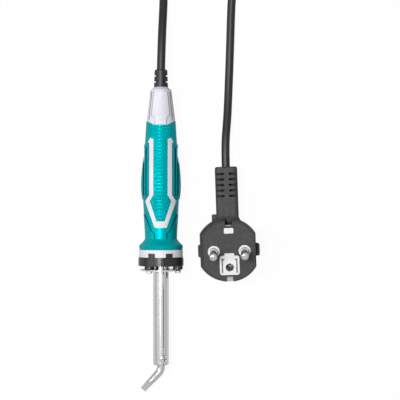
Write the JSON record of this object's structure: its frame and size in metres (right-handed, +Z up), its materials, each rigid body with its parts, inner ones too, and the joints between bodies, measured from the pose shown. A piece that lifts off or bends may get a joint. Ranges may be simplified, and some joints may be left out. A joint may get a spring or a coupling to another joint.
{
  "type": "soldering iron",
  "caption": "Corded hand soldering iron with a rubbered grip, heat shield ring, steel barrel, bent chisel tip, mains cord and side-entry plug.",
  "frame": {"origin": "on the surface it lies on, below the middle of the iron", "axes": "+Y along the iron from the tip to the cord, +Z up, the tip bent towards -X"},
  "size_m": [0.0836, 0.3457, 0.0437],
  "materials": {
    "core_white": "hard white moulding, satin",
    "grip_teal": "soft teal overmould, matte",
    "relief_black": "flexible moulding",
    "shield_black": "moulded phenolic",
    "flange_chrome": "polished plating",
    "screw_steel": "bright plated steel",
    "barrel_steel": "polished stainless sheet",
    "tip_plated": "plated copper",
    "brass": "turned brass",
    "steel_plain": "plain steel",
    "ceramic": "unglazed steatite",
    "winding_wire": "resistance wire",
    "mica": "rolled mica paper",
    "lead_sleeve": "braided glass sleeve",
    "core_insulation": "insulated wire",
    "cord_black": "flexible round cord",
    "plug_black": "moulded plug, matte",
    "insert_white": "hard white moulding",
    "pin_plated": "nickel plated brass",
    "tie_black": "flat strap"
  },
  "bodies": {
    "iron": {"handle_core": "core_white", "grip_sleeve": "grip_teal", "strain_relief": "relief_black", "heat_shield": "shield_black", "barrel_flange": "flange_chrome", "flange_screws": "screw_steel", "barrel": "barrel_steel", "tip_holder": "steel_plain", "heater_bobbin": "ceramic", "heater_winding": "winding_wire", "mica_wrap": "mica", "rear_bush": "ceramic", "heater_leads": "lead_sleeve", "earth_lead": "lead_sleeve", "terminal_block": "ceramic", "terminal_tubes": "brass", "terminal_screws": "brass", "supply_cores": "core_insulation", "cord_inside": "cord_black", "cord_clamp": "steel_plain", "clamp_screws": "screw_steel", "plug_body": "plug_black", "plug_insert": "insert_white", "plug_pins": "pin_plated", "plug_earth_socket": "brass", "plug_earth_contacts": "pin_plated", "cord_iron_side": "cord_black", "cord_plug_side": "cord_black", "cord_coil": "cord_black", "coil_tie": "tie_black"},
    "tip": {"soldering_tip": "tip_plated"},
    "tip_screw": {"tip_screw": "screw_steel"}
  },
  "joints": [
    {"name": "tip_slide", "type": "slide", "parent": "iron", "child": "tip", "axis": [0, -1, 0], "range_m": [0, 0.03]},
    {"name": "tip_screw_travel", "type": "slide", "parent": "iron", "child": "tip_screw", "axis": [0.3256, 0, 0.9455], "range_m": [0, 0.0018]}
  ]
}
